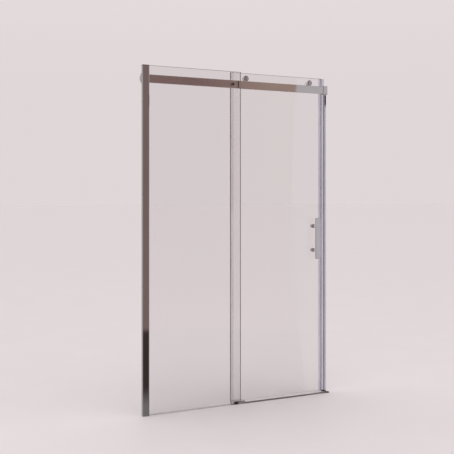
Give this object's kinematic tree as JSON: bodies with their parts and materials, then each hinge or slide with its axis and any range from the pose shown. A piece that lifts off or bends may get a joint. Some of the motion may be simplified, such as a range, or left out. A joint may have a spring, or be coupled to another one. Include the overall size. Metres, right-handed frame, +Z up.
{
  "type": "sliding shower door",
  "caption": "Sliding shower door for a niche: a fixed glass panel in a wall profile and a glass panel that hangs on rollers from a chrome rail and slides behind it.",
  "frame": {"origin": "on the left wall face of the wall profile, at floor level, level with the front of the fixed glass", "axes": "+X along the opening from the left wall to the right wall, +Y from the room into the shower, +Z up"},
  "size_m": [1.2, 0.078, 1.9],
  "materials": {
    "profile_chrome": "polished chrome look",
    "rail_chrome": "polished",
    "fitting_chrome": "polished",
    "glass": "clear toughened",
    "clear_seal": "translucent",
    "grey_rubber": "matte",
    "black_rubber": "matte",
    "black_plastic": "matte",
    "nylon": "satin",
    "steel": "machined"
  },
  "bodies": {
    "frame": {"wall_profile": "profile_chrome", "front_glazing_gasket": "grey_rubber", "rear_glazing_gasket": "grey_rubber", "glass_setting_block": "grey_rubber", "wall_profile_cap": "black_plastic", "fixed_glass": "glass", "fixed_glass_floor_seal": "clear_seal", "rail_glass_screw": "fitting_chrome", "rail_screw_washer": "clear_seal", "rail_screw_sleeve": "clear_seal", "rail_glass_spacer": "nylon", "rail_screw_nut": "steel", "guide_rail": "rail_chrome", "rail_socket_left": "rail_chrome", "rail_socket_right": "rail_chrome", "rail_socket_grub_screws": "steel", "strike_profile": "profile_chrome", "strike_seal": "grey_rubber", "floor_guide": "fitting_chrome", "floor_guide_grub_screw": "steel", "floor_guide_gasket": "grey_rubber", "floor_guide_liners": "black_plastic", "threshold_bar": "profile_chrome", "threshold_end_cap": "black_plastic", "door_buffer_arm": "fitting_chrome", "door_buffer_tip": "black_rubber"},
    "door": {"door_glass": "glass", "door_overlap_seal": "clear_seal", "door_closing_seal": "clear_seal", "door_bottom_seal": "clear_seal", "handle_plate": "fitting_chrome", "handle_posts": "fitting_chrome", "handle_studs": "steel", "handle_sleeves": "clear_seal", "handle_gaskets": "clear_seal", "handle_knobs": "fitting_chrome", "roller_axle_left": "steel", "roller_bush_left": "nylon", "roller_gaskets_left": "grey_rubber", "roller_cap_nut_left": "fitting_chrome", "bearing_inner_left": "steel", "bearing_balls_left": "steel", "roller_axle_right": "steel", "roller_bush_right": "nylon", "roller_gaskets_right": "grey_rubber", "roller_cap_nut_right": "fitting_chrome", "bearing_inner_right": "steel", "bearing_balls_right": "steel"},
    "left_roller": {"roller_wheel_left": "nylon", "roller_cover_left": "fitting_chrome", "bearing_outer_left": "steel"},
    "right_roller": {"roller_wheel_right": "nylon", "roller_cover_right": "fitting_chrome", "bearing_outer_right": "steel"}
  },
  "joints": [
    {"name": "door_slide", "type": "slide", "parent": "frame", "child": "door", "axis": [-1, 0, 0], "range_m": [0, 0.488]},
    {"name": "left_roller_spin", "type": "hinge", "parent": "door", "child": "left_roller", "pos_m": [0.642, 0.022, 1.8673], "axis": [0, -1, 0], "continuous": true},
    {"name": "right_roller_spin", "type": "hinge", "parent": "door", "child": "right_roller", "pos_m": [1.073, 0.022, 1.8673], "axis": [0, -1, 0], "continuous": true}
  ],
  "couplings": [
    {"joint": "left_roller_spin", "follows": "door_slide", "rad_per_m": 66.667},
    {"joint": "right_roller_spin", "follows": "door_slide", "rad_per_m": 66.667}
  ]
}
